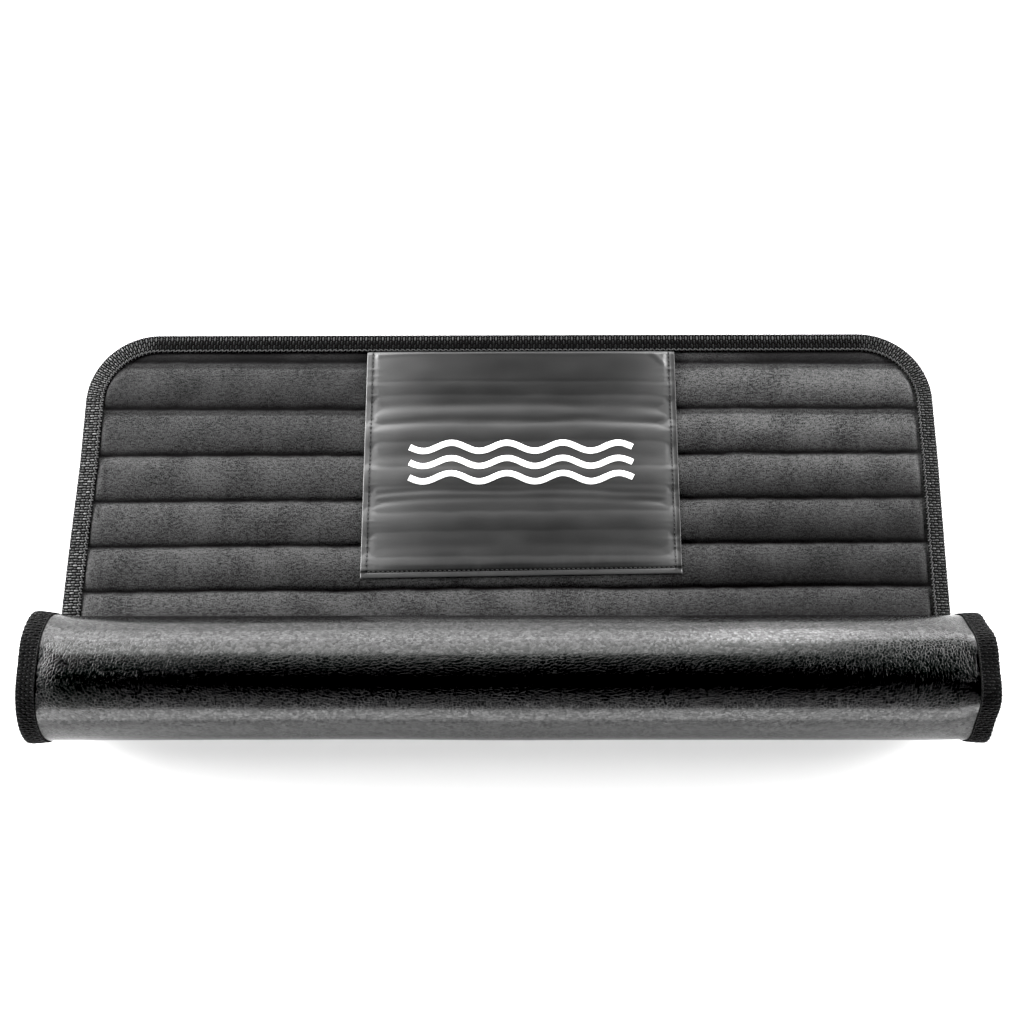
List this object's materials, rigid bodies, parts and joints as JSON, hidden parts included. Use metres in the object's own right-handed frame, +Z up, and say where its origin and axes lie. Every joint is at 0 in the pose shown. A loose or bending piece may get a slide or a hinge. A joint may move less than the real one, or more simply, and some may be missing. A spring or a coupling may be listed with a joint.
{
  "type": "surfboard rack pad",
  "caption": "Quilted velour mat with a foam core and grained vinyl back, bound with woven tape, lying flat with its near end curled up and over into a loose roll.",
  "frame": {"origin": "on the ground, under the middle of the whole mat as it lies", "axes": "+X across the mat, +Y from the curl towards the far edge, +Z up through the mat"},
  "size_m": [0.914, 0.443, 0.1187],
  "materials": {
    "velour": "short black nap, matte, slightly lighter along the channels",
    "foam": "closed-cell foam, hidden inside",
    "grained_vinyl": "black non-slip vinyl with a fine pebble grain and a soft sheen",
    "woven_tape": "black woven polypropylene tape with raised floats",
    "sewing_thread": "black twisted polyester thread",
    "patch_nylon": "dark grey coated nylon, satin, wrinkled over the channels",
    "print_ink": "white printed ink, matte"
  },
  "bodies": {
    "root": {"velour_face": "velour", "foam_core": "foam", "grained_backing": "grained_vinyl", "edge_tape": "woven_tape", "tape_thread": "sewing_thread", "quilt_thread_01": "sewing_thread", "quilt_thread_02": "sewing_thread", "quilt_thread_03": "sewing_thread", "quilt_thread_04": "sewing_thread", "quilt_thread_05": "sewing_thread", "quilt_thread_06": "sewing_thread", "quilt_thread_07": "sewing_thread", "quilt_thread_08": "sewing_thread", "quilt_thread_09": "sewing_thread", "quilt_thread_10": "sewing_thread", "quilt_thread_11": "sewing_thread", "quilt_thread_12": "sewing_thread", "quilt_thread_13": "sewing_thread", "label_patch": "patch_nylon", "patch_thread": "sewing_thread", "printed_wave_1": "print_ink", "printed_wave_2": "print_ink", "printed_wave_3": "print_ink"}
  },
  "joints": []
}
